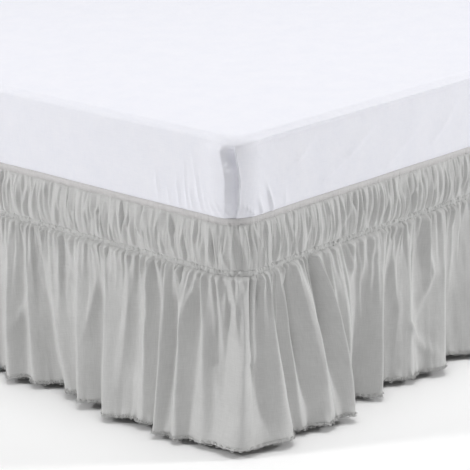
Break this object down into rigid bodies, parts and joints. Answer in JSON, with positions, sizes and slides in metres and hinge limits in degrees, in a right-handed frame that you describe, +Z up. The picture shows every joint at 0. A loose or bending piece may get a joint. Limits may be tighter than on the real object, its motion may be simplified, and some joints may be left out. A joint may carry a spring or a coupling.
{
  "type": "gathered bed skirt on a bed base and mattress",
  "caption": "Gathered wrap-around bed skirt with a shirred heading and a deep ruffle, on a plain bed base with legs and a mattress in a fitted sheet.",
  "frame": {"origin": "on the floor, under the middle of the bed", "axes": "+X across the bed's width, +Y along its length from foot to head, +Z up"},
  "size_m": [1.7329, 2.2296, 0.5676],
  "materials": {
    "skirt_cloth": "light grey brushed microfibre, matte",
    "sheet_cotton": "white cotton sheeting, matte",
    "mattress_ticking": "off-white ticking, matte",
    "base_cover": "plain woven upholstery cloth, matte",
    "leg_wood": "satin beech"
  },
  "bodies": {
    "root": {"bed_base": "base_cover", "leg_foot_left": "leg_wood", "leg_middle_left": "leg_wood", "leg_head_left": "leg_wood", "leg_foot_right": "leg_wood", "leg_middle_right": "leg_wood", "leg_head_right": "leg_wood", "mattress": "mattress_ticking", "fitted_sheet": "sheet_cotton", "top_binding": "skirt_cloth", "gathering_strip": "skirt_cloth", "heading_foot_right": "skirt_cloth", "heading_head_right": "skirt_cloth", "heading_head_left": "skirt_cloth", "heading_foot_left": "skirt_cloth", "ruffle_foot_right": "skirt_cloth", "ruffle_head_right": "skirt_cloth", "ruffle_head_left": "skirt_cloth", "ruffle_foot_left": "skirt_cloth"}
  },
  "joints": []
}
